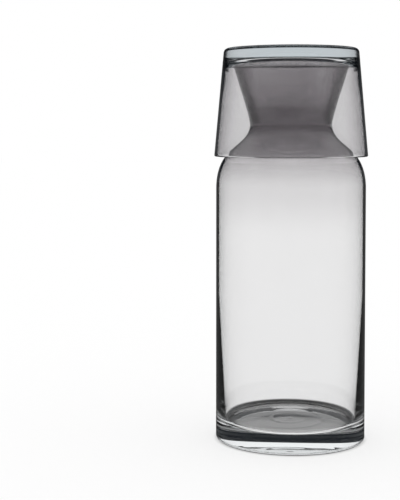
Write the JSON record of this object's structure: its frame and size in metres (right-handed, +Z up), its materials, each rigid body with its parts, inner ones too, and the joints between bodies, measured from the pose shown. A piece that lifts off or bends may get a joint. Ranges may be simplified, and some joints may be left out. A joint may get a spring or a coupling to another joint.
{
  "type": "bedside carafe with tumbler",
  "caption": "Smoked clear glass water carafe with a heavy foot, straight body and flared neck, with a matching tumbler turned upside down over the neck as its lid.",
  "frame": {"origin": "centre of the foot on the surface that the carafe stands on", "axes": "+Z up along the axis of the carafe and the tumbler; both are round, so +X and +Y are free"},
  "size_m": [0.0974, 0.0974, 0.2488],
  "materials": {
    "carafe_glass": "clear glass, polished, with a grey smoke tint that is deepest at the neck and fades out down the body",
    "tumbler_glass": "clear glass, polished, with an even grey smoke tint"
  },
  "bodies": {
    "carafe": {"carafe": "carafe_glass"},
    "tumbler": {"tumbler": "tumbler_glass"}
  },
  "joints": [
    {"name": "tumbler_lift", "type": "slide", "parent": "carafe", "child": "tumbler", "axis": [0, 0, 1], "range_m": [0, 0.08]}
  ]
}
